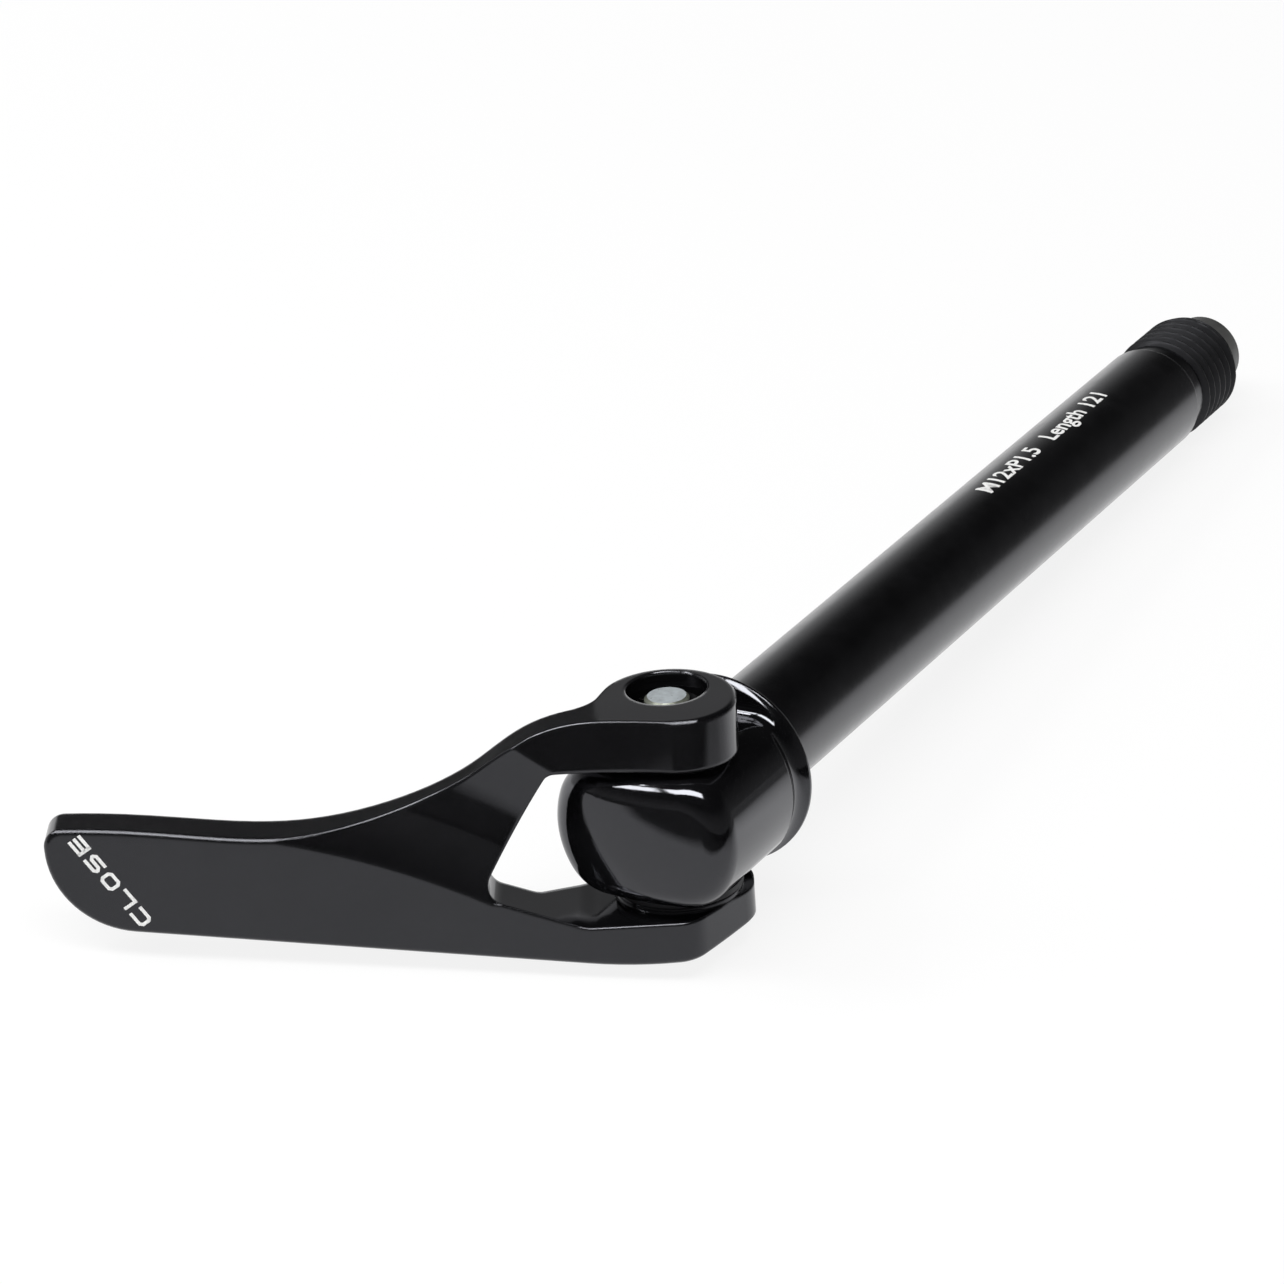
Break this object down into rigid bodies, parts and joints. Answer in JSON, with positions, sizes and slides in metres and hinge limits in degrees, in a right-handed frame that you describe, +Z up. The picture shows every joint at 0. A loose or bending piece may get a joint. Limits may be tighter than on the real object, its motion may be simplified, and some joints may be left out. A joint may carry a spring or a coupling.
{
  "type": "thru axle",
  "caption": "Front bicycle thru axle: a hollow shaft with a threaded tip and a domed cam head, clamped by a forked folding lever that turns on a cross pin.",
  "frame": {"origin": "centre of the flange face that seats against the fork, on the shaft's axis", "axes": "+X along the shaft towards its threaded tip, +Z up as the axle lies on its lever, 9 degrees of roll from the cam axis, +Y the side the closed lever points to"},
  "size_m": [0.1664, 0.0609, 0.0274],
  "materials": {
    "shaft_black": "gloss black anodised",
    "plug_black": "matte black anodised, faint blast texture",
    "head_black": "gloss black, smooth turned and milled",
    "lever_black": "gloss black anodised forging",
    "zinc_steel": "zinc plated, slightly mottled",
    "ring_steel": "black oxide spring steel",
    "washer_black": "matte black bearing plastic"
  },
  "bodies": {
    "head_body": {"head": "head_black", "upper_thrust_washer": "washer_black", "lower_thrust_washer": "washer_black"},
    "shaft_body": {"axle_shaft": "shaft_black", "end_plug": "plug_black"},
    "lever_body": {"lever": "lever_black", "cam_shaft": "zinc_steel", "retaining_ring": "ring_steel"}
  },
  "joints": [
    {"name": "lever_flip", "type": "hinge", "parent": "head_body", "child": "lever_body", "pos_m": [-0.01005, 0, 0], "axis": [0, 0.1564, 0.9877], "range_deg": [-28, 152]},
    {"name": "shaft_slide", "type": "slide", "parent": "head_body", "child": "shaft_body", "axis": [1, 0, 0], "range_m": [-0.0003, 0.0014]}
  ],
  "couplings": [
    {"joint": "shaft_slide", "follows": "lever_flip", "m_per_rad": 0.000507}
  ]
}
